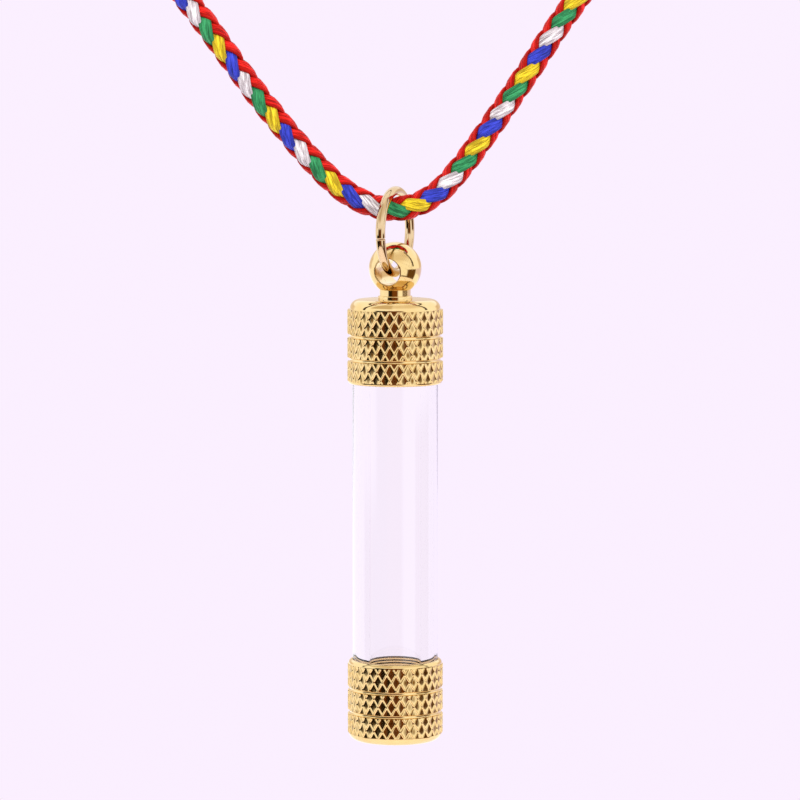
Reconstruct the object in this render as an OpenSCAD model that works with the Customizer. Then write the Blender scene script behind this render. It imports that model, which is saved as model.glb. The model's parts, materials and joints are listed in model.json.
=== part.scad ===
// Bottle pendant on a braided cord necklace, hanging as worn.
// Millimetres, +Z up, +X to the viewer's right, the viewer at -Y.
// The origin is the underside of the sleeve at the top of the loop, where a neck carries it.

/* [Cord] */
// Diameter of the round braided cord
cord_d = 3; // [2.4:0.1:3.2]

/* [Cord sleeve] */
// Outer diameter of the plain sleeve that joins the cord's two ends
sleeve_d = 4.4; // [4:0.1:6]
// Length of the sleeve
sleeve_len = 14; // [10:0.5:16]
// Rounding of the sleeve's end edges
sleeve_edge_r = 0.4; // [0.1:0.05:0.5]

/* [Jump ring] */
// Outer diameter of the jump ring
ring_d = 11.4; // [10:0.1:12]
// Diameter of the ring's wire
wire_d = 1.2; // [0.8:0.05:1.3]
// Width of the butt joint between the wire's two ends
ring_slit = 0.12; // [0.05:0.01:0.3]
// How far the butt joint lies below the ring's middle, in degrees round the ring
ring_slit_below = 7; // [0:1:40]
// How far the ring's plane is turned from straight ahead, in degrees
ring_yaw = 21; // [0:0.5:45]

/* [Ball and neck] */
// Diameter of the ball on the top cap
ball_d = 6.6; // [6:0.1:7.5]
// Diameter of the cross hole that the ring passes through
ball_hole_d = 3.3; // [3:0.1:3.6]
// How far the cross hole lies below the ball's middle
hole_drop = 0.32; // [0:0.02:0.5]
// Diameter of the upper neck under the ball
neck_d = 3.9; // [3.2:0.1:4.2]
// Diameter of the turned ring at the neck's foot
neck_ring_d = 4.3; // [3.6:0.1:5]
// Height of the turned ring at the neck's foot
neck_ring_h = 0.43; // [0.2:0.01:0.6]
// Distance from the ball's middle down to the shoulder
shoulder_drop = 3.87; // [3.8:0.01:5]

/* [Shoulder] */
// Diameter of the top cap's smooth shoulder
shoulder_d = 11.4; // [11:0.1:11.8]
// Height of the shoulder above the first knurled band
shoulder_h = 1.25; // [0.8:0.05:2]
// Rounding of the shoulder's edge
shoulder_r = 1.2; // [0.3:0.05:1.2]

/* [Knurled bands] */
// Outer diameter of both caps, over the knurl's ridges
cap_d = 12; // [11.9:0.1:13]
// Number of diamonds round each band
knurl_count = 32; // [16:1:40]
// Angle of the knurl's ridges from the cap's axis, in degrees
knurl_angle = 30; // [25:1:45]
// Depth of the knurl's diamonds
knurl_depth = 0.22; // [0.1:0.01:0.24]
// Height of the top cap's first band
top_band_h = 3.1; // [2:0.1:4]
// Height of the bottom cap's first band
low_band_h = 2.9; // [2:0.1:4]
// Height of each of the other bands
band_h = 2.5; // [1.8:0.1:3.5]
// Height of the plain groove between two bands
groove_h = 0.45; // [0.2:0.05:0.8]
// Depth of the plain groove between two bands
groove_depth = 0.3; // [0.25:0.01:0.34]

/* [Smooth edges] */
// Height of the top cap's smooth lip over the glass
lip_h = 0.34; // [0.2:0.01:0.6]
// Height of the bottom cap's smooth rim over the glass
rim_h = 0.57; // [0.3:0.01:1]
// Rounding of the lip and of the rim
edge_r = 0.16; // [0.05:0.01:0.18]
// Height of the bottom cap's smooth base
base_h = 0.95; // [0.6:0.05:1.5]
// Rounding of the base's lower edge
base_r = 0.9; // [0.3:0.05:0.9]
// How far the lip, the rim and the base stand inside the knurl's ridges
smooth_inset = 0.1; // [0.05:0.01:0.2]

/* [Glass tube] */
// Outer diameter of the thick-walled glass tube
tube_d = 10.7; // [10.4:0.1:10.8]
// Diameter of the tube's bore
tube_bore_d = 6.5; // [4:0.1:7]
// Length of the tube
tube_len = 50; // [40:1:60]
// Rounding of the tube's end edges
tube_edge_r = 0.3; // [0.1:0.05:0.5]
// How deep the tube sits in the top cap
tube_in_top = 7.6; // [5:0.1:8]
// How deep the tube sits in the bottom cap
tube_in_low = 7.53; // [5:0.01:8]

/* [Cap thread] */
// Pitch of the turned rings inside the bottom cap's mouth
thread_pitch = 0.35; // [0.3:0.01:0.6]
// Depth of the turned rings
thread_depth = 0.08; // [0.04:0.01:0.1]
// Width of each turned ring at its mouth
thread_width = 0.25; // [0.1:0.01:0.28]
// Number of turned rings
thread_rings = 12; // [4:1:14]

/* [Clearances] */
// Gap round the tube in each cap
tube_fit = 0.05; // [0.02:0.01:0.08]
// Gap between each end of the tube and the floor of its cap
seat_gap = 0.05; // [0.02:0.01:0.2]
// Gap between the ring's wire and the cord that carries it
cord_gap = 0.15; // [0.1:0.01:0.4]
// Gap between the ring's wire and the edges of the ball's hole
hang_gap = 0.06; // [0.04:0.01:0.2]

/* [Hidden] */
$fn = 96;
cord_sides = 8;
ring_step = 2.5 * cord_d;
overlap = 0.1;

cord_r = cord_d / 2;
wire_r = wire_d / 2;
ring_mid_r = ring_d / 2 - wire_r;
ring_in_r = ring_d / 2 - wire_d;
ball_r = ball_d / 2;
hole_r = ball_hole_d / 2;
cap_r = cap_d / 2;
groove_r = cap_r - groove_depth;
smooth_r = cap_r - smooth_inset;
cup_r = tube_d / 2 + tube_fit;

// The route of the cord's middle in the XZ plane, from one end of the sleeve round to the other.
cord_low_z = -140;
route = [
    [-sleeve_len / 2, sleeve_d / 2], [-13, sleeve_d / 2], [-25, 0.6], [-37, -3.2],
    [-48.5, -8.6], [-59, -15.8], [-67.6, -25], [-73, -36.2], [-74, -48.5], [-70.4, -60.2],
    [-63.6, -71], [-55, -81], [-46, -91], [-35.8, -102.8], [-25.5, -114.5], [-17, -126],
    [-9.2, -135.2], [-4.4, -138.9],
    [0, cord_low_z],
    [4.2, -138.7], [8, -135.1], [14.3, -126.3], [22.4, -114.2], [33, -101], [43, -89],
    [52.6, -78], [61.4, -67.6], [68.4, -56.6], [71.8, -44.6], [70.8, -32.4], [65.4, -21.4],
    [56.8, -13], [46.5, -7.4], [36, -3], [24.5, 0.6], [13, sleeve_d / 2],
    [sleeve_len / 2, sleeve_d / 2],
];

// The ring hangs on the cord, and the ball on the ring, by the upper edges of its hole.
ring_z = cord_low_z + cord_r + cord_gap + wire_r - ring_mid_r;
hole_top_z = hole_r - hole_drop;
hole_half_len = sqrt(pow(ball_r, 2) - pow(hole_top_z, 2));
ball_hang = hole_top_z + sqrt(pow(ring_in_r - hang_gap, 2) - pow(hole_half_len, 2));
ball_z = ring_z - ball_hang;

// Heights of the bottle below the ball's middle, from the shoulder down to the base.
top_bands_z = -shoulder_drop - shoulder_h;
lip_z = top_bands_z - top_band_h - 2 * band_h - 2 * groove_h;
mouth_z = lip_z - lip_h;
tube_top_z = mouth_z + tube_in_top;
tube_low_z = tube_top_z - tube_len;
rim_z = tube_low_z + tube_in_low;
low_bands_z = rim_z - rim_h;
base_z = low_bands_z - low_band_h - 2 * band_h - 2 * groove_h;
foot_z = base_z - base_h;

// A point of the smooth curve through p0 to p3, between p1 and p2.
function curve_point(p0, p1, p2, p3, t) =
    0.5 * (2 * p1 + (p2 - p0) * t + (2 * p0 - 5 * p1 + 4 * p2 - p3) * t * t
        + (3 * p1 - p0 - 3 * p2 + p3) * t * t * t);

// The point before the first or after the last, in line with the two nearest.
function route_at(i) =
    i < 0 ? 2 * route[0] - route[1]
    : i >= len(route) ? 2 * route[len(route) - 1] - route[len(route) - 2]
    : route[i];

// The middles of the cord's rings along the route.
cord_mids = [
    for (i = [0 : len(route) - 2])
        let (steps = max(1, round(norm(route[i + 1] - route[i]) / ring_step)))
        for (k = [0 : steps - 1])
            curve_point(route_at(i - 1), route[i], route[i + 1], route_at(i + 2), k / steps),
    route[len(route) - 1],
];

// The way that the cord runs at each ring: square to the sleeve at both ends.
function cord_way(j) =
    let (
        last = len(cord_mids) - 1,
        way = cord_mids[min(j + 1, last)] - cord_mids[max(j - 1, 0)]
    )
    (j == 0 || j == last) ? [sign(way.x), 0] : way / norm(way);

// A closed tube swept along the rings.
module cord() {
    rings = len(cord_mids);
    points = [
        for (j = [0 : rings - 1], s = [0 : cord_sides - 1])
            let (
                way = cord_way(j),
                turn = (s + 0.5) * 360 / cord_sides,
                out = cord_r * cos(turn)
            )
            [cord_mids[j].x - way.y * out, cord_r * sin(turn), cord_mids[j].y + way.x * out]
    ];
    walls = [
        for (j = [0 : rings - 2], s = [0 : cord_sides - 1])
            let (a = j * cord_sides, t = (s + 1) % cord_sides)
            [a + s, a + t, a + cord_sides + t, a + cord_sides + s]
    ];
    first_end = [for (s = [0 : cord_sides - 1]) cord_sides - 1 - s];
    last_end = [for (s = [0 : cord_sides - 1]) (rings - 1) * cord_sides + s];
    color("firebrick") polyhedron(points, concat(walls, [first_end, last_end]));
}

// A disc with rounded rims: r_top is the rounding of its upper edge, r_low of its lower one.
module rounded_disc(r, h, r_top, r_low) {
    rotate_extrude() {
        square([r - max(r_top, r_low), h]);
        translate([0, r_low]) square([r, h - r_low - r_top]);
        translate([0, h / 2]) square([r - r_top, h / 2]);
        square([r - r_low, h / 2]);
        if (r_top > 0) intersection() {
            translate([r - r_top, h - r_top]) circle(r_top);
            square([r, h]);
        }
        if (r_low > 0) intersection() {
            translate([r - r_low, r_low]) circle(r_low);
            square([r, h]);
        }
    }
}

// The plain sleeve that joins the cord's ends, hidden at the nape.
module cord_sleeve() {
    color("goldenrod")
        translate([-sleeve_len / 2, 0, sleeve_d / 2])
            rotate([0, 90, 0])
                rounded_disc(sleeve_d / 2, sleeve_len, sleeve_edge_r, sleeve_edge_r);
}

// A ring of round wire, open at its butt joint on the near side.
module jump_ring() {
    slit_turn = 2 * asin(ring_slit / (2 * ring_mid_r));
    color("burlywood")
        translate([0, 0, ring_z])
            rotate([0, 0, 90 - ring_yaw])
                rotate([90, 0, 0])
                    rotate([0, 0, 180 + ring_slit_below + slit_turn / 2])
                        rotate_extrude(angle = 360 - slit_turn)
                            translate([ring_mid_r, 0]) circle(wire_r);
}

// One knurled band from z = 0 up: ridges cross at the even places, and the odd ones are sunk.
module knurled_band(h) {
    half_diamond_h = PI * cap_r / knurl_count / tan(knurl_angle);
    rows = max(2, round(h / half_diamond_h));
    columns = 2 * knurl_count;
    points = [
        for (k = [0 : rows], i = [0 : columns - 1])
            let (r = (i + k) % 2 == 0 ? cap_r : cap_r - knurl_depth, turn = i * 360 / columns)
            [r * cos(turn), r * sin(turn), h * k / rows],
        [0, 0, 0],
        [0, 0, h],
    ];
    low_middle = (rows + 1) * columns;
    facets = [
        for (k = [0 : rows - 1], i = [0 : columns - 1], half = [0, 1])
            let (
                next = (i + 1) % columns,
                a = k * columns + i,
                b = k * columns + next,
                c = (k + 1) * columns + next,
                d = (k + 1) * columns + i
            )
            (i + k) % 2 == 0 ? (half == 0 ? [a, c, b] : [a, d, c])
                : (half == 0 ? [a, d, b] : [b, d, c])
    ];
    low_face = [for (i = [0 : columns - 1]) [low_middle, i, (i + 1) % columns]];
    high_face = [
        for (i = [0 : columns - 1])
            [low_middle + 1, rows * columns + (i + 1) % columns, rows * columns + i]
    ];
    polyhedron(points, concat(facets, low_face, high_face));
}

// Three bands one under another, from z = 0 down, on a plain core that shows in the grooves.
module banded_wall(first_h) {
    all_h = first_h + 2 * band_h + 2 * groove_h;
    translate([0, 0, -all_h - overlap]) cylinder(r = groove_r, h = all_h + 2 * overlap);
    translate([0, 0, -first_h]) knurled_band(first_h);
    for (n = [1, 2])
        translate([0, 0, -first_h - n * (band_h + groove_h)]) knurled_band(band_h);
}

// The turned top cap: the ball with its cross hole, the neck, the shoulder and a cup for the tube.
module top_cap() {
    color("gold")
        translate([0, 0, ball_z])
            difference() {
                union() {
                    sphere(ball_r);
                    translate([0, 0, -shoulder_drop - overlap])
                        cylinder(d = neck_d, h = shoulder_drop);
                    translate([0, 0, -shoulder_drop - overlap])
                        cylinder(d = neck_ring_d, h = neck_ring_h + overlap);
                    translate([0, 0, top_bands_z])
                        rounded_disc(shoulder_d / 2, shoulder_h, shoulder_r, 0);
                    translate([0, 0, top_bands_z]) banded_wall(top_band_h);
                    translate([0, 0, mouth_z])
                        rounded_disc(smooth_r, lip_h, 0, edge_r);
                }
                translate([0, 0, -hole_drop])
                    rotate([0, 0, 90 - ring_yaw]) rotate([0, 90, 0])
                        cylinder(r = hole_r, h = 2 * ball_d, center = true);
                translate([0, 0, mouth_z - overlap])
                    cylinder(r = cup_r, h = tube_in_top + seat_gap + overlap);
            }
}

// The thick-walled tube of clear glass, open at both ends.
module glass_tube() {
    color("aliceblue", 0.4)
        translate([0, 0, ball_z + tube_low_z])
            difference() {
                rounded_disc(tube_d / 2, tube_len, tube_edge_r, tube_edge_r);
                translate([0, 0, -overlap])
                    cylinder(d = tube_bore_d, h = tube_len + 2 * overlap);
            }
}

// The bottom cap: a cup with turned rings inside its mouth, three bands and a rounded base.
module bottom_cap() {
    color("gold")
        translate([0, 0, ball_z])
            difference() {
                union() {
                    translate([0, 0, low_bands_z])
                        rounded_disc(smooth_r, rim_h, edge_r, 0);
                    translate([0, 0, low_bands_z]) banded_wall(low_band_h);
                    translate([0, 0, foot_z])
                        rounded_disc(smooth_r, base_h, 0, base_r);
                }
                translate([0, 0, tube_low_z - seat_gap])
                    cylinder(r = cup_r, h = tube_in_low + seat_gap + overlap);
                for (n = [0 : thread_rings - 1])
                    translate([0, 0, rim_z - edge_r - (n + 0.5) * thread_pitch])
                        thread_ring();
            }
}

// One turned ring: a shallow notch round the cup's wall.
module thread_ring() {
    rotate_extrude()
        polygon([
            [cup_r - overlap, -thread_width / 2],
            [cup_r, -thread_width / 2],
            [cup_r + thread_depth, 0],
            [cup_r, thread_width / 2],
            [cup_r - overlap, thread_width / 2],
        ]);
}

cord();
cord_sleeve();
jump_ring();
top_cap();
glass_tube();
bottom_cap();
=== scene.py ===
import json
import math

import bpy
import numpy as np
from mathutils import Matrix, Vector


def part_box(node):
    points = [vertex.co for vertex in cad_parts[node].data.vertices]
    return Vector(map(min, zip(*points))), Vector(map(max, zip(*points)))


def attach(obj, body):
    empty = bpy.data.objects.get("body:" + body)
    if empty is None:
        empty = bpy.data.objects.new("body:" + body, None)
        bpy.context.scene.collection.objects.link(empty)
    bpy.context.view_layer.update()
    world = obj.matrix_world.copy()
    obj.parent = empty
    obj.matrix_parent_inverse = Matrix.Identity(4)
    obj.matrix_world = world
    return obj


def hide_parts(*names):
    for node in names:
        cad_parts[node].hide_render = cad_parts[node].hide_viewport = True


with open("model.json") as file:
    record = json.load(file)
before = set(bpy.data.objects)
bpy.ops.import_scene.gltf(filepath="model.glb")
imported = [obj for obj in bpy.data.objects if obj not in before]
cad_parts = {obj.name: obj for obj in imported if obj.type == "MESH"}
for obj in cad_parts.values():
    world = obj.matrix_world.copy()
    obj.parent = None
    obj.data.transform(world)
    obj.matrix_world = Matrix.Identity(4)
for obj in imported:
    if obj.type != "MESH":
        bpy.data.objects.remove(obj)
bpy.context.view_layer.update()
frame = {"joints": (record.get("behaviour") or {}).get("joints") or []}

# The camera stands in front of the bottle and a little above it, and looks slightly down.
# Its picture is about 100 mm wide where the bottle hangs, so it shows the lowest sixth of the loop.
picture_middle = Vector((0.0006, 0, -0.16401))
picture_width = 0.1005
camera_distance = 0.56
camera_rise = math.radians(5.3)

camera_data = bpy.data.cameras.new("camera")
camera_data.lens = camera_data.sensor_width * camera_distance / picture_width
camera = bpy.data.objects.new("camera", camera_data)
bpy.context.scene.collection.objects.link(camera)
camera_back = Vector((0, -math.cos(camera_rise), math.sin(camera_rise)))
camera.location = picture_middle + camera_distance * camera_back
camera.rotation_euler = (-camera_back).to_track_quat("-Z", "Y").to_euler()
bpy.context.scene.camera = camera

# The cord is one round braid of eight strands of silky polyester yarn, 3 mm thick. Four red strands
# are laid one way round, and a green, a white, a blue and a yellow one the other. Each goes over two
# and under two, so the colours show in a column at the front and the back, with the red at the sides.
cord_route = np.array([
    (-0.007, 0.0022), (-0.013, 0.0022), (-0.025, 0.0006), (-0.037, -0.0032), (-0.0485, -0.0086),
    (-0.059, -0.0158), (-0.0676, -0.025), (-0.073, -0.0362), (-0.074, -0.0485), (-0.0704, -0.0602),
    (-0.0636, -0.071), (-0.055, -0.081), (-0.046, -0.091), (-0.0358, -0.1028), (-0.0255, -0.1145),
    (-0.017, -0.126), (-0.0092, -0.1352), (-0.0044, -0.1389), (0, -0.14), (0.0042, -0.1387),
    (0.008, -0.1351), (0.0143, -0.1263), (0.0224, -0.1142), (0.033, -0.101), (0.043, -0.089),
    (0.0526, -0.078), (0.0614, -0.0676), (0.0684, -0.0566), (0.0718, -0.0446), (0.0708, -0.0324),
    (0.0654, -0.0214), (0.0568, -0.013), (0.0465, -0.0074), (0.036, -0.003), (0.0245, 0.0006),
    (0.013, 0.0022), (0.007, 0.0022),
])
route_steps = 24
braid_pitch = 0.01095
sections_per_turn = 30
strand_middle = 0.00086
strand_rise = 0.00034
strand_width = 0.00152
strand_thickness = 0.0007
strand_sides = 16
strand_girth_mm = 3.6
strand_roundness = 0.85
filament_relief = 0.05
ridges_above = 0.1
fibre_twist = 0.16
float_straightness = 0.17
float_widening = 0.05
tuck_in_sleeve = 0.0006
left_arm_roll = math.radians(22)
roll_begins, roll_ends = 0.002, 0.018
strand_colours = {
    "red": (204, 24, 12),
    "green": (52, 138, 86),
    "white": (224, 210, 216),
    "blue": (54, 64, 184),
    "yellow": (228, 190, 40),
}


def smooth_line(points, steps):
    """Points along the smooth curve through the given points, with so many steps between two."""
    guides = np.vstack([2 * points[0] - points[1], points, 2 * points[-1] - points[-2]])
    t = np.linspace(0, 1, steps, endpoint=False)[:, None]
    parts = [
        0.5 * (2 * b + (c - a) * t + (2 * a - 5 * b + 4 * c - d) * t**2 + (3 * b - a - 3 * c + d) * t**3)
        for a, b, c, d in zip(guides, guides[1:], guides[2:], guides[3:])
    ]
    return np.vstack([*parts, points[-1:]])


def unit(vectors):
    """The same directions, each with a length of 1."""
    return vectors / np.linalg.norm(vectors, axis=-1, keepdims=True)


def colour(red, green, blue):
    """The linear colour, with full alpha, of a screen colour in steps of 0 to 255."""
    return (*[(c / 255) ** 2.2 for c in (red, green, blue)], 1)


class Shade:
    """A socket of a material's nodes. Sums, differences and products of shades add Math nodes."""

    def __init__(self, tree, socket=None):
        self.tree = tree
        self.socket = socket

    def node(self, kind, settings, sockets, output=0):
        """Adds a node, fills in its settings and then its sockets, and gives one of its outputs."""
        made = self.tree.nodes.new("ShaderNode" + kind)
        for name, value in settings.items():
            setattr(made, name, value)
        for name, value in sockets.items():
            if isinstance(value, Shade):
                self.tree.links.new(value.socket, made.inputs[name])
            else:
                made.inputs[name].default_value = value
        return Shade(self.tree, made.outputs[output])

    def mixed(self, share, first, second):
        """The first colour, or as much of the second as share says. A Mix node has sockets of one name
        for each kind of value, so those for colours go by their numbers."""
        return self.node("Mix", {"data_type": "RGBA"}, {0: share, 6: first, 7: second}, output=2)

    def math(self, operation, first, second=0.0):
        return self.node("Math", {"operation": operation}, {0: first, 1: second})

    def __add__(self, other):
        return self.math("ADD", self, other)

    def __radd__(self, other):
        return self.math("ADD", other, self)

    def __sub__(self, other):
        return self.math("SUBTRACT", self, other)

    def __rsub__(self, other):
        return self.math("SUBTRACT", other, self)

    def __mul__(self, other):
        return self.math("MULTIPLY", self, other)

    def __rmul__(self, other):
        return self.math("MULTIPLY", other, self)


def new_material(name, fixed, pattern):
    """A material whose shader has these fixed values, and what pattern makes of its nodes."""
    material = bpy.data.materials.new(name)
    material.use_nodes = True
    tree = material.node_tree
    shader = tree.nodes["Principled BSDF"]
    for socket, value in fixed.items():
        shader.inputs[socket].default_value = value
    for socket, shade in pattern(Shade(tree)).items():
        tree.links.new(shade.socket, shader.inputs[socket])
    return material


def yarn(name):
    """Silky multifilament yarn: fine bright and dark fibres run along the strand at a slight twist.
    Their tones are painted light and shade on the filaments, the strand is painted darker towards
    its sides as shade, and a painted highlight lies where the fibres pass over its crown."""
    bright = colour(*strand_colours[name])
    # A far darker copy of the yarn's colour, for painted shade, and a paler one, for painted highlights.
    deep = tuple(0.4 * c**0.9 for c in bright[:3]) + (1,)
    painted_glint = tuple(min(1.0, 1.5 * c + 0.015) for c in bright[:3]) + (1,)

    def pattern(nodes):
        place = nodes.node("UVMap", {"uv_map": "yarn"}, {})
        round_strand = nodes.node("SeparateXYZ", {}, {"Vector": place}) * (1 / strand_girth_mm)
        from_crown = nodes.math("ABSOLUTE", nodes.math("FRACT", round_strand) - 0.25)
        crown = nodes.node("MapRange", {}, {"Value": from_crown, "From Min": 0.2, "From Max": 0.04})
        bundles, fibres = (
            nodes.node("TexNoise", {"noise_dimensions": "2D"}, {
                "Vector": nodes.node("Mapping", {}, {
                    "Vector": place, "Rotation": (0, 0, fibre_twist), "Scale": (across, along_it, 1)}),
                "Scale": 1.0, "Detail": 2.0, "Roughness": 0.6})
            for across, along_it in ((4.2, 0.5), (15.0, 0.9))
        )
        depth = bundles * 0.55 + fibres * 0.45
        # Bright and dark fibres: painted light and shade on the filaments, at random along the strand.
        lit = nodes.node("MapRange", {}, {"Value": depth, "From Min": 0.36, "From Max": 0.58})
        # Painted shade: each strand's colour is darker towards its sides than on its crown.
        share = lit * (0.6 + 0.4 * crown)
        painted_glint_mask = nodes.node("MapRange", {}, {"Value": depth, "From Min": 0.46, "From Max": 0.62})
        bump = nodes.node("Bump", {}, {"Strength": 0.55, "Distance": 0.00012, "Height": depth})
        return {
            # Painted highlight: a paler colour where the brighter fibres cross the strand's crown.
            "Base Color": nodes.mixed(painted_glint_mask * crown, nodes.mixed(share, deep, bright), painted_glint),
            "Roughness": 0.62 - 0.26 * fibres,
            "Normal": bump,
        }

    fixed = {"Sheen Weight": 0.03, "Sheen Roughness": 0.3, "Specular IOR Level": 0.14}
    return new_material("yarn_" + name, fixed, pattern)


route_line = smooth_line(cord_route, route_steps)
route_run = np.concatenate([[0], np.cumsum(np.linalg.norm(np.diff(route_line, axis=0), axis=1))])
cord_length = route_run[-1]
run_to_ring = route_run[np.argmin(route_line[:, 1])]
section_count = round(cord_length / braid_pitch * sections_per_turn)
along = np.linspace(-tuck_in_sleeve, cord_length + tuck_in_sleeve, section_count)
tucked_run = np.concatenate([[-tuck_in_sleeve], route_run, [cord_length + tuck_in_sleeve]])
tucked_line = np.vstack([
    route_line[0] + (tuck_in_sleeve, 0), route_line, route_line[-1] - (tuck_in_sleeve, 0)])
cord_x, cord_z = (np.interp(along, tucked_run, tucked_line[:, k]) for k in (0, 1))
cord_middle = np.stack([cord_x, 0 * along, cord_z], axis=1)
cord_way = unit(np.gradient(cord_middle, axis=0))
cord_front = np.tile([0.0, -1.0, 0.0], (section_count, 1))
cord_outer = np.stack([cord_way[:, 2], 0 * along, -cord_way[:, 0]], axis=1)
roll_share = np.clip((run_to_ring - roll_begins - along) / (roll_ends - roll_begins), 0, 1)
cord_roll = left_arm_roll * roll_share**2 * (3 - 2 * roll_share)
uneven = np.random.default_rng(8)


def wander(size, spacing):
    """A smooth random course along the cord, which strays about size from nought."""
    knots = np.arange(0, cord_length + 2 * spacing, spacing)
    course = smooth_line(np.stack([knots, uneven.normal(0, size, len(knots))], axis=1), steps=8)
    return np.interp(along, course[:, 0], course[:, 1])


def strand_skin(start_turn, way):
    """The rings of points round one strand. The strands of way 1 lie on top at the front and the
    back of the cord, and those of way -1 at its sides. A strand stays up or down for most of its way
    and crosses quickly, and its upper face has the fine ridges of its bundles of filaments."""
    turn = way * 2 * math.pi * (along - run_to_ring) / braid_pitch + start_turn
    turn = turn + wander(size=0.05, spacing=0.006)
    over = way * np.cos(2 * turn)
    over = over * (1.5 - 0.5 * over**2)
    angle = turn - way * float_straightness * np.sin(2 * turn) + cord_roll
    radius = strand_middle + strand_rise * over + wander(size=0.000012, spacing=0.004)
    out = np.cos(angle)[:, None] * cord_front + np.sin(angle)[:, None] * cord_outer
    middle = cord_middle + radius[:, None] * out
    forward = unit(np.gradient(middle, axis=0))
    top = unit(out - np.sum(out * forward, axis=1, keepdims=True) * forward)
    side = np.cross(forward, top)
    width = strand_width * (1 + float_widening * over + wander(size=0.025, spacing=0.005))
    thickness = strand_thickness * (1 + wander(size=0.03, spacing=0.005))
    rings = []
    for k in range(strand_sides):
        turn_round = 2 * math.pi * k / strand_sides
        across, height = math.cos(turn_round), math.sin(turn_round)
        rounded_height = math.copysign(abs(height) ** strand_roundness, height)
        swell = 1 + filament_relief * (k % 2 - 0.5) * (height > ridges_above)
        rings.append(
            middle
            + (0.5 * swell * across * width)[:, None] * side
            + (0.5 * swell * rounded_height * thickness)[:, None] * top
        )
    return np.stack(rings, axis=1)


def join_strands(name, strands):
    """One mesh of several strands, each given as its rings, with a map in mm that unrolls the yarn.
    Each strand's map lies two girths on from the last one's, so no two in the mesh share fibres."""
    materials, points, faces, map_points, paints = [], [], [], [], []
    ring, section = np.meshgrid(np.arange(strand_sides), np.arange(section_count - 1))
    next_ring = (ring + 1) % strand_sides
    for number, (paint, skin) in enumerate(strands):
        first = number * section_count * strand_sides
        if paint not in materials:
            materials.append(paint)
        walls = np.stack([
            section * strand_sides + ring,
            (section + 1) * strand_sides + ring,
            (section + 1) * strand_sides + next_ring,
            section * strand_sides + next_ring,
        ], axis=-1).reshape(-1, 4) + first
        across = strand_girth_mm * np.stack([ring, ring, ring + 1, ring + 1], axis=-1) / strand_sides
        down = 1000 * along[np.stack([section, section + 1, section + 1, section], axis=-1)]
        points.append(skin.reshape(-1, 3))
        faces += walls.tolist()
        last = first + (section_count - 1) * strand_sides
        faces += [list(range(first, first + strand_sides))]
        faces += [list(range(last + strand_sides - 1, last - 1, -1))]
        map_points.append(np.stack([
            across + 2 * strand_girth_mm * number, down], axis=-1).reshape(-1, 2))
        map_points.append(np.zeros((2 * strand_sides, 2)))
        paints += [materials.index(paint)] * (len(walls) + 2)
    mesh = bpy.data.meshes.new(name)
    mesh.from_pydata(np.vstack(points).tolist(), [], faces)
    mesh.uv_layers.new(name="yarn").data.foreach_set("uv", np.vstack(map_points).ravel())
    for paint in materials:
        mesh.materials.append(paint)
    mesh.polygons.foreach_set("material_index", paints)
    mesh.shade_smooth()
    piece = bpy.data.objects.new(name, mesh)
    bpy.context.scene.collection.objects.link(piece)
    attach(piece, "necklace")
    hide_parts("cord")
    return piece


quarter = math.pi / 2
red_yarn = yarn("red")
red_strands = join_strands("cord_red_strands", [
    (red_yarn, strand_skin(quarter * (k + 0.5), -1)) for k in range(4)])
coloured_strands = join_strands("cord_coloured_strands", [
    (yarn(name), strand_skin(quarter * k, 1))
    for k, name in enumerate(("green", "white", "blue", "yellow"))])

# The sleeve is a short gold-plated tube that the cord's two ends are glued into, at the nape. It is
# one plain piece with softened end edges. Its skin is turned upright and then laid along X.
sleeve_low, sleeve_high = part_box("cord_sleeve")
sleeve_edge = 0.0004
sleeve_sides = 96
corner_steps = 8


def corner(radius, height, rounding, start, end):
    """The rings of a rounded corner about a middle, from one direction to another, in degrees. 90
    looks up along the axis, 0 out from it and -90 down."""
    turns = np.radians(np.linspace(start, end, corner_steps + 1))
    return [(radius + rounding * math.cos(t), height + rounding * math.sin(t), 0) for t in turns]


def turned_skin(rings, sides, start=0.0, closed=False):
    """Points and faces of a turned form, whose rings run down its outside and up its inside. Each
    ring is its radius, its height and how many columns it is shifted by, 0 or 0.5. A radius may be a
    list, one for each column. A closed form joins its last ring to its first; others get end faces."""
    columns = np.arange(sides)
    after = (columns + 1) % sides
    points, faces = [], []
    for radius, height, shift in rings:
        turn = start + 2 * math.pi * (columns + shift) / sides
        points.append(np.stack([
            radius * np.sin(turn), -radius * np.cos(turn), height + 0 * turn], axis=1))
    pairs = list(zip(range(len(rings)), range(1, len(rings))))
    if closed:
        pairs.append((len(rings) - 1, 0))
    for upper, lower in pairs:
        a, b = upper * sides, lower * sides
        step = rings[lower][2] - rings[upper][2]
        if step == 0:
            faces.append(np.stack([a + columns, b + columns, b + after, a + after], axis=1))
        elif step > 0:
            faces.append(np.stack([a + columns, b + columns, a + after], axis=1))
            faces.append(np.stack([a + after, b + columns, b + after], axis=1))
        else:
            faces.append(np.stack([a + columns, b + columns, b + after], axis=1))
            faces.append(np.stack([a + columns, b + after, a + after], axis=1))
    faces = [f for rows in faces for f in rows.tolist()]
    if not closed:
        last = (len(rings) - 1) * sides
        faces += [columns.tolist(), (last + columns)[::-1].tolist()]
    return np.vstack(points), faces


def new_piece(name, skin, material, body, node, sharp_angle=50):
    """A piece with this skin, smooth but for edges sharper than sharp_angle, in the node's stead."""
    points, faces = skin
    mesh = bpy.data.meshes.new(name)
    mesh.from_pydata(points.tolist(), [], faces)
    mesh.materials.append(material)
    mesh.shade_smooth()
    mesh.set_sharp_from_angle(angle=math.radians(sharp_angle))
    piece = bpy.data.objects.new(name, mesh)
    bpy.context.scene.collection.objects.link(piece)
    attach(piece, body)
    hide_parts(node)
    return piece


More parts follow.
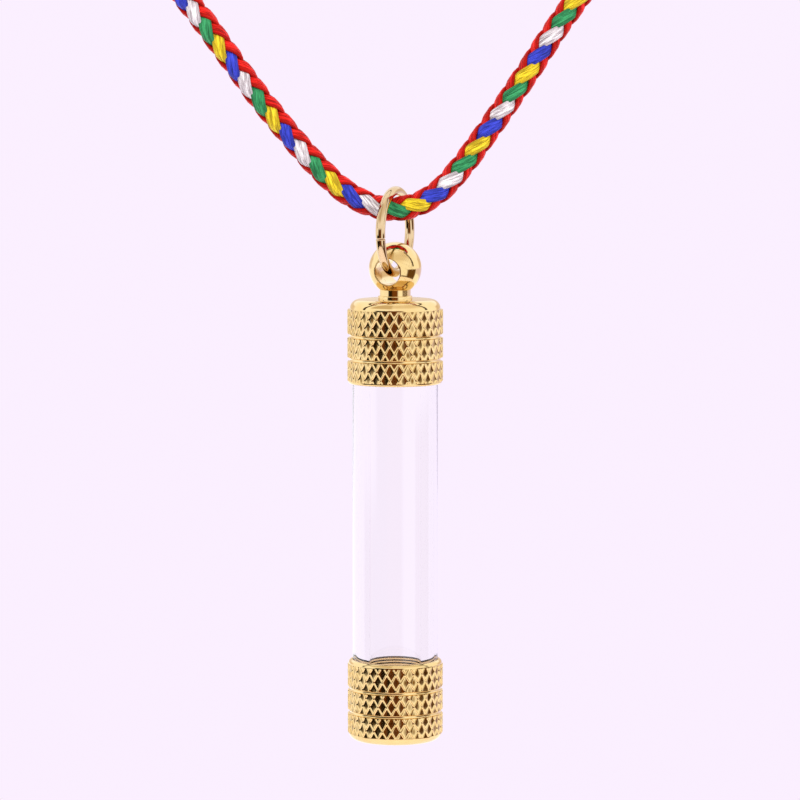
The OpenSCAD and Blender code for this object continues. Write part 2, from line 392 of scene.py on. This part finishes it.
def plated(name, shine, deep, pit_painted_shade=None):
    """Polished plating: its tone and gloss change a little from place to place, and its face has
    faint waves and fine hair scratches from the polishing wheel. In a knurl's pits it is rougher,
    and its colour is painted dark brown in patches of random strength: painted shade, with painted
    reflections bounced off the gold walls round the pit."""

    def pattern(nodes):
        place = nodes.node("TexCoord", {}, {}, output="Object")
        clouds = nodes.node("TexNoise", {}, {"Vector": place, "Scale": 420.0, "Detail": 3.0})
        stretched = nodes.node("Mapping", {}, {"Vector": place, "Scale": (1, 1, 9)})
        hairs = nodes.node("TexNoise", {}, {"Vector": stretched, "Scale": 2600.0, "Detail": 2.0})
        spread = nodes.node("MapRange", {}, {"Value": clouds, "From Min": 0.35, "From Max": 0.65})
        waves = nodes.node("Bump", {}, {
            "Strength": 0.12, "Distance": 0.00006, "Height": clouds * 0.8 + hairs * 0.2})
        tone = nodes.mixed(spread * 0.4, shine, deep)
        roughness = 0.05 + 0.09 * hairs * clouds
        # Deep in the pits the colour goes towards a dark brown: painted shade and painted reflections.
        if pit_painted_shade:
            pit = nodes.node("Attribute", {"attribute_name": "pit"}, {}, output="Fac")
            bottom = nodes.node("MapRange", {}, {"Value": pit, "From Min": 0.86, "From Max": 0.99})
            patches = nodes.node("TexNoise", {}, {"Vector": place, "Scale": 520.0, "Detail": 0.0})
            pit_shade_strength = nodes.node("MapRange", {}, {
                "Value": patches, "From Min": 0.35, "From Max": 0.65, "To Min": 0.5})
            tone = nodes.mixed(bottom * pit_shade_strength, tone, pit_painted_shade)
            roughness = roughness + 0.14 * bottom
        return {"Base Color": tone, "Roughness": roughness, "Normal": waves}

    return new_material(name, {"Metallic": 1.0}, pattern)


sleeve_radius = (sleeve_high.z - sleeve_low.z) / 2
sleeve_half = (sleeve_high.x - sleeve_low.x) / 2
sleeve_points, sleeve_faces = turned_skin(
    corner(sleeve_radius - sleeve_edge, sleeve_half - sleeve_edge, sleeve_edge, 90, 0)
    + corner(sleeve_radius - sleeve_edge, sleeve_edge - sleeve_half, sleeve_edge, 0, -90),
    sleeve_sides)
sleeve_points = sleeve_points[:, (2, 1, 0)] * (1, 1, -1) + (0, 0, sleeve_radius)
sleeve = new_piece(
    "cord_sleeve_tube", (sleeve_points, sleeve_faces),
    plated("sleeve_plating", colour(236, 206, 146), colour(224, 184, 108)),
    "necklace", "cord_sleeve")

# The jump ring is bent from round brass wire, plated a paler and rosier gold than the caps. Its two
# ends are butted together, not soldered, and the joint shows as a fine dark line on the near leg.
ring_low, ring_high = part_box("jump_ring")
hole_axis = Vector(next(j["axis"] for j in frame["joints"] if j["name"] == "bottle_swing"))
wire_radius = 0.0006
wire_sides = 40
ring_sections = 240
joint_width = 0.00012
joint_below = math.radians(7)
wire_end_rounding = 0.00005


def ring_skin():
    """The wire's skin, from one side of the joint round to the other, with softened wire ends."""
    middle = Vector((0, 0, (ring_low.z + ring_high.z) / 2))
    ring_radius = (ring_high.z - ring_low.z) / 2 - wire_radius
    near = -hole_axis.normalized()
    half_joint = joint_width / 2 / ring_radius
    first = -joint_below + half_joint
    turns = np.linspace(first, first + 2 * (math.pi - half_joint), ring_sections)
    softened = wire_end_rounding / ring_radius
    turns = np.insert(turns, [1, -1], [turns[0] + softened, turns[-1] - softened])
    thickness = np.full(len(turns), wire_radius)
    thickness[[0, -1]] -= wire_end_rounding
    outward = np.cos(turns)[:, None] * near + np.sin(turns)[:, None] * np.array([0, 0, 1])
    sideways = np.array(near.cross(Vector((0, 0, 1))))
    round_turn = 2 * math.pi * np.arange(wire_sides) / wire_sides
    rings = (
        np.array(middle) + ring_radius * outward[:, None]
        + thickness[:, None, None] * np.cos(round_turn)[None, :, None] * outward[:, None]
        + thickness[:, None, None] * np.sin(round_turn)[None, :, None] * sideways
    )
    ring, section = np.meshgrid(np.arange(wire_sides), np.arange(len(turns) - 1))
    after = (ring + 1) % wire_sides
    faces = np.stack([
        section * wire_sides + ring, section * wire_sides + after,
        (section + 1) * wire_sides + after, (section + 1) * wire_sides + ring,
    ], axis=-1).reshape(-1, 4).tolist()
    last = (len(turns) - 1) * wire_sides
    faces.append(list(range(wire_sides - 1, -1, -1)))
    faces.append(list(range(last, last + wire_sides)))
    return rings.reshape(-1, 3), faces


new_piece(
    "jump_ring_wire", ring_skin(),
    plated("ring_plating", colour(216, 188, 146), colour(198, 158, 108)),
    "ring", "jump_ring")

# The top cap is turned from one brass bar, polished and plated in bright yellow gold: a ball with a
# cross hole, a stepped neck, a smooth shoulder, three knurled bands and a cup glued over the glass.
hole_middle = Vector(next(j["pos_m"] for j in frame["joints"] if j["name"] == "bottle_swing"))
hole_drop = 0.00032
ball_middle = hole_middle + Vector((0, 0, hole_drop))
ball_radius = 0.0033
hole_radius = 0.00165
hole_edge = 0.00022
ball_sides, ball_steps, hole_steps, hole_edge_steps = 160, 35, 5, 8
neck_radius, neck_ring_radius, neck_ring_height = 0.00195, 0.00215, 0.00043
neck_ring_edge = 0.0001
neck_sunk_in_ball, neck_weld_height = 0.001, 0.0006
shoulder_top, shoulder_radius, shoulder_edge = -0.00387, 0.0057, 0.0012
top_bands = -0.00512
top_band_heights = (0.0031, 0.0025, 0.0025)
top_half_diamond = 0.00108
top_cap_turn = 4.4
cap_radius, groove_radius, smooth_radius, cup_radius = 0.006, 0.0057, 0.0059, 0.0054
lip_height, lip_edge = 0.00034, 0.0003
mouth_chamfer = 0.00005
top_cup_floor = -0.00681
top_mouth = -0.01446
groove_height, groove_rounding, groove_steps = 0.00045, 0.00014, 8
knurl_count = 32
diamond_steps = 14
knurl_depth = 0.00015
pit_roundness = 0.22
band_bevel = 0.00006
cap_sides = knurl_count * diamond_steps
cap_sharp_angle = 72


def banded(top, heights, half_diamond, first_row):
    """The rings of the knurled bands under one another, with a plain groove between two. The ridges
    of one knurl run on from band to band. Its rows are counted from a row of crossings."""
    columns = np.arange(cap_sides)
    row_height = half_diamond / diamond_steps
    rings, height, row = [], top, first_row
    for number, band in enumerate(heights):
        rows = round(band / row_height)
        for k in range(rows + 1):
            shift = (row + k) % 2 / 2
            across, down = (columns + shift) / diamond_steps, (row + k) / (2 * diamond_steps)
            from_ridges = np.sin(math.pi * (across + down)) * np.sin(math.pi * (across - down))
            sunk = knurl_depth * abs(from_ridges) ** pit_roundness
            if k in (0, rows):
                sunk = np.maximum(sunk, band_bevel)
            rings.append((cap_radius - sunk, height - band * k / rows, shift))
        height -= band
        row += rows
        if number < len(heights) - 1:
            for share in np.linspace(0, 1, groove_steps + 1):
                hollow = groove_radius + groove_rounding * (2 * share - 1) ** 4
                rings.append((hollow, height - groove_height * share, shift))
            height -= groove_height
            row += round(groove_height / row_height)
    return rings


def bead_skin():
    """The ball with its cross hole, which is drilled a little below the middle. Rings of points run
    from the hole's middle over its rounded rim and round the ball, and back in at the other end."""
    upright = np.array([0, 0, 1])
    axis = np.array(hole_axis.normalized())
    turn = 2 * math.pi * np.arange(ball_sides)[:, None] / ball_sides
    outward = np.cos(turn) * upright + np.sin(turn) * np.cross(upright, axis)
    wall = hole_radius * outward - hole_drop * upright
    rim = wall + np.sqrt(ball_radius**2 - np.sum(wall**2, axis=1, keepdims=True)) * axis
    inside = rim - hole_edge * axis
    outside = [
        ball_radius * unit(rim + share * (ball_radius * outward - rim))
        for share in np.linspace(hole_edge / ball_radius, 1, ball_steps + 1)]
    half = [wall + share * (inside - wall) for share in np.linspace(0, 1, hole_steps + 1)]
    half += [
        (1 - t) ** 2 * inside + 2 * t * (1 - t) * rim + t**2 * outside[0]
        for t in np.linspace(0, 1, hole_edge_steps + 1)[1:-1]]
    half += outside
    other_half = [points - 2 * (points @ axis)[:, None] * axis for points in half[-2:0:-1]]
    rings = half + other_half
    column, section = np.meshgrid(np.arange(ball_sides), np.arange(len(rings)))
    after, onward = (column + 1) % ball_sides, (section + 1) % len(rings)
    faces = np.stack([
        section * ball_sides + column, section * ball_sides + after,
        onward * ball_sides + after, onward * ball_sides + column], axis=-1)
    return np.vstack(rings) + np.array(ball_middle), faces.reshape(-1, 4).tolist()


def united(piece, skin):
    """Welds a second closed skin to the piece, so that both are one body. The second gets the pit
    values too, all nought, because the weld would leave them unset."""
    other_mesh = bpy.data.meshes.new("welded")
    other_mesh.from_pydata(skin[0].tolist(), [], skin[1])
    other_mesh.attributes.new("pit", "FLOAT", "POINT")
    other = bpy.data.objects.new("welded", other_mesh)
    bpy.context.scene.collection.objects.link(other)
    weld = piece.modifiers.new("weld", "BOOLEAN")
    weld.operation, weld.object, weld.solver = "UNION", other, "EXACT"
    welded = bpy.data.meshes.new_from_object(
        piece.evaluated_get(bpy.context.evaluated_depsgraph_get()))
    piece.modifiers.remove(weld)
    piece.data = welded
    bpy.data.objects.remove(other)


def new_cap(name, rings, turned_by, body, node):
    """A cap from rings given from the ball's middle, with its knurl turned by so many degrees. Each
    point keeps how deep in a pit it lies."""
    points, faces = turned_skin(rings, cap_sides, start=math.radians(turned_by))
    cap = new_piece(
        name, (points + np.array(ball_middle), faces), cap_plating, body, node,
        cap_sharp_angle)
    pits = cap.data.attributes.new("pit", "FLOAT", "POINT")
    pits.data.foreach_set("value", np.concatenate([
        (cap_radius - radius) / knurl_depth if np.ndim(radius) else np.zeros(cap_sides)
        for radius, height, shift in rings]))
    return cap


# The dark brown given for the bottoms of the knurl's pits is painted shade.
cap_plating = plated(
    "cap_plating", colour(234, 204, 146), colour(222, 182, 106), pit_painted_shade=colour(122, 80, 28))
top_rings = [
    (neck_radius, -ball_radius + neck_sunk_in_ball, 0),
    (neck_radius, -ball_radius + neck_weld_height, 0),
    (neck_radius, shoulder_top + neck_ring_height, 0),
    *corner(neck_ring_radius - neck_ring_edge, shoulder_top + neck_ring_height - neck_ring_edge,
            neck_ring_edge, 90, 0),
    (neck_ring_radius, shoulder_top, 0),
    *corner(shoulder_radius - shoulder_edge, shoulder_top - shoulder_edge, shoulder_edge, 90, 0),
    (shoulder_radius, top_bands, 0),
    *banded(top_bands, top_band_heights, top_half_diamond, first_row=1),
    (smooth_radius, top_mouth + lip_height, 0),
    *corner(smooth_radius - lip_edge, top_mouth + lip_edge, lip_edge, 0, -90),
    (cup_radius + mouth_chamfer, top_mouth, 0),
    (cup_radius, top_mouth + mouth_chamfer, 0),
    (cup_radius, top_cup_floor, 0),
]
top_cap = new_cap("top_cap_turned", top_rings, top_cap_turn, "bottle", "top_cap")
united(top_cap, bead_skin())
top_cap.data.shade_smooth()
top_cap.data.set_sharp_from_angle(angle=math.radians(cap_sharp_angle))

# The tube is clear borosilicate glass, drawn with a wall of 2.1 mm, cut and fire polished at both
# ends. Drawing leaves faint lengthwise streaks in it. It is glued into the top cap.
glass_low, glass_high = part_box("glass_tube")
glass_bore = 0.00325
glass_edge = 0.0003
glass_sides = 192


def drawn_glass(nodes):
    """Faint streaks along the tube, from the drawing."""
    place = nodes.node("TexCoord", {}, {}, output="Object")
    lengthwise = nodes.node("Mapping", {}, {"Vector": place, "Scale": (1, 1, 0.02)})
    streaks = nodes.node("TexNoise", {}, {"Vector": lengthwise, "Scale": 700.0, "Detail": 1.0})
    return {"Normal": nodes.node("Bump", {}, {
        "Strength": 0.02, "Distance": 0.0001, "Height": streaks})}


glass_radius = (glass_high.x - glass_low.x) / 2
glass_rings = (
    corner(glass_bore + glass_edge, glass_high.z - glass_edge, glass_edge, 180, 90)
    + corner(glass_radius - glass_edge, glass_high.z - glass_edge, glass_edge, 90, 0)
    + corner(glass_radius - glass_edge, glass_low.z + glass_edge, glass_edge, 0, -90)
    + corner(glass_bore + glass_edge, glass_low.z + glass_edge, glass_edge, -90, -180))
clear_glass = new_material(
    "clear_glass",
    {"Base Color": (1, 1, 1, 1), "Transmission Weight": 1.0, "Roughness": 0.0, "IOR": 1.5},
    drawn_glass)
new_piece(
    "glass_tube_drawn", turned_skin(glass_rings, glass_sides, closed=True), clear_glass,
    "bottle", "glass_tube")

# The bottom cap is turned and knurled like the top one. It screws over the tube's end by the fine
# thread inside its mouth, which shows through the glass, and its base is smooth and rounded.
rim = -0.04933
rim_height = 0.00057
rim_edge = 0.0005
thread_below_rim = 0.00012
low_cup_floor = -0.05691
foot = -0.05965
base_height, base_edge, base_tilt = 0.00095, 0.00125, 14
low_band_heights = (0.0029, 0.0025, 0.0025)
low_half_diamond = 0.00104
low_cap_turn = -4.7
thread_pitch, thread_turns = 0.00035, 12
thread_profile = ((0.0, 0.0), (0.3, 0.00003), (0.6, 0.00006), (0.82, 0.00008))

thread = [
    (cup_radius + cut, rim - thread_below_rim - thread_pitch * (thread_turns - turn - share), 0)
    for turn in range(thread_turns) for share, cut in thread_profile]
low_rings = [
    (cup_radius, low_cup_floor, 0),
    *thread,
    (cup_radius, rim - mouth_chamfer, 0),
    (cup_radius + mouth_chamfer, rim, 0),
    *corner(smooth_radius - rim_edge, rim - rim_edge, rim_edge, 90, 0),
    (smooth_radius, rim - rim_height, 0),
    *banded(rim - rim_height, low_band_heights, low_half_diamond, first_row=5),
    (smooth_radius, foot + base_height, 0),
    *corner(smooth_radius - base_edge * math.cos(math.radians(base_tilt)), foot + base_edge,
            base_edge, -base_tilt, -90),
]
new_cap("bottom_cap_turned", low_rings, low_cap_turn, "bottom_cap", "bottom_cap")

# The studio is a pale floor far below, with a pale lilac room round it. A tent of white cloth is lit
# from outside, with dark seams, and has an opening for the camera, where the dim room shows.
floor_height = -1.0
floor_radius = 1.3
floor_sides = 96
lilac_white = colour(251, 239, 255)

floor_turn = 2 * math.pi * np.arange(floor_sides) / floor_sides
floor_mesh = bpy.data.meshes.new("studio_floor")
floor_mesh.from_pydata(
    [(floor_radius * math.cos(t), floor_radius * math.sin(t), floor_height) for t in floor_turn],
    [], [list(range(floor_sides))])
floor = bpy.data.objects.new("studio_floor", floor_mesh)
bpy.context.scene.collection.objects.link(floor)
floor_mesh.materials.append(new_material(
    "pale_floor", {
        "Base Color": colour(250, 244, 250), "Roughness": 0.9,
        "Emission Color": colour(255, 238, 240), "Emission Strength": 0.2},
    lambda nodes: {}))

world = bpy.data.worlds.new("studio")
bpy.context.scene.world = world
world.use_nodes = True
world.node_tree.nodes.clear()
room = Shade(world.node_tree)
looked_at = room.node("TexCoord", {}, {}, output="Generated")
side, depth, rise = (
    room.node("SeparateXYZ", {}, {"Vector": looked_at}, output=axis) for axis in "XYZ")
azimuth = side.math("ARCTAN2", side, 0 - depth) * (180 / math.pi)
elevation = rise.math("ARCSINE", rise) * (180 / math.pi)


def panel(value, low, high, soft):
    """1 between low and high, in degrees, and 0 outside, with soft edges."""
    steps = [
        value.node("MapRange", {"interpolation_type": "SMOOTHSTEP"}, {
            "Value": value, "From Min": edge - way * soft, "From Max": edge + way * soft})
        for edge, way in ((low, 1), (high, -1))]
    return steps[0] * steps[1]


# The tent's cloth shines brighter than the screen's white. Each of its zones lies between a left and
# a right, in degrees round from the camera's side, and between an under and an over, in degrees up.
tent = colour(284, 288, 296)
for left, right, side_soft, under, over, rise_soft, tone in (
    (-70, -8, 6, 26, 76, 8, colour(224, 208, 184)),
    (-8, 84, 2, 34, 76, 14, colour(254, 246, 238)),
    (130, 190, 8, -3, 16, 3, colour(240, 222, 206)),
    (-190, -130, 8, -3, 16, 3, colour(246, 230, 214)),
    (104, 184, 8, -15, -2, 2, colour(248, 236, 264)),
    (-92, -40, 6, -34, -6, 2, colour(50, 42, 24)),
    (-52, -10, 6, -34, 8, 3, colour(46, 36, 22)),
    (-22, 20, 7, -34, 8, 3, colour(122, 74, 34)),
    (56, 103, 4, -34, -3, 1, colour(112, 80, 44)),
    (22, 57, 1, -32, -27, 1, colour(104, 74, 42)),
    (83, 91, 1, 6, 62, 1, colour(66, 44, 30)),
    (-91, -83, 1, 6, 62, 1, colour(66, 44, 30)),
    (84, 250, 1, 51, 55, 1, colour(80, 58, 42)),
    (-250, -84, 1, 51, 55, 1, colour(80, 58, 42)),
):
    zone = panel(azimuth, left, right, side_soft) * panel(elevation, under, over, rise_soft)
    tent = room.mixed(zone, tent, tone)
seen = room.node("LightPath", {}, {}, output="Is Camera Ray")
through = room.node("LightPath", {}, {}, output="Is Transmission Ray")
direct = seen.math("MAXIMUM", seen, through)
background = room.node("Background", {}, {
    "Color": room.mixed(direct, tent, lilac_white), "Strength": 1.0})
output = world.node_tree.nodes.new("ShaderNodeOutputWorld")
world.node_tree.links.new(background.socket, output.inputs["Surface"])

# Two soft lamps light the yarn from the front. They do not show in the metal or the glass.
for name, position, size, energy in (
    ("key_light", (-0.5, -0.8, 0.55), 0.5, 6.0),
    ("fill_light", (0.7, -0.6, 0.2), 0.5, 3.0),
):
    light_data = bpy.data.lights.new(name, "AREA")
    light_data.size, light_data.energy = size, energy
    light = bpy.data.objects.new(name, light_data)
    bpy.context.scene.collection.objects.link(light)
    light.location = position
    light.rotation_euler = (picture_middle - light.location).to_track_quat("-Z", "Y").to_euler()
    light.visible_camera = False
    light.visible_glossy = False
    light.visible_transmission = False
bpy.context.scene.view_settings.view_transform = "Standard"
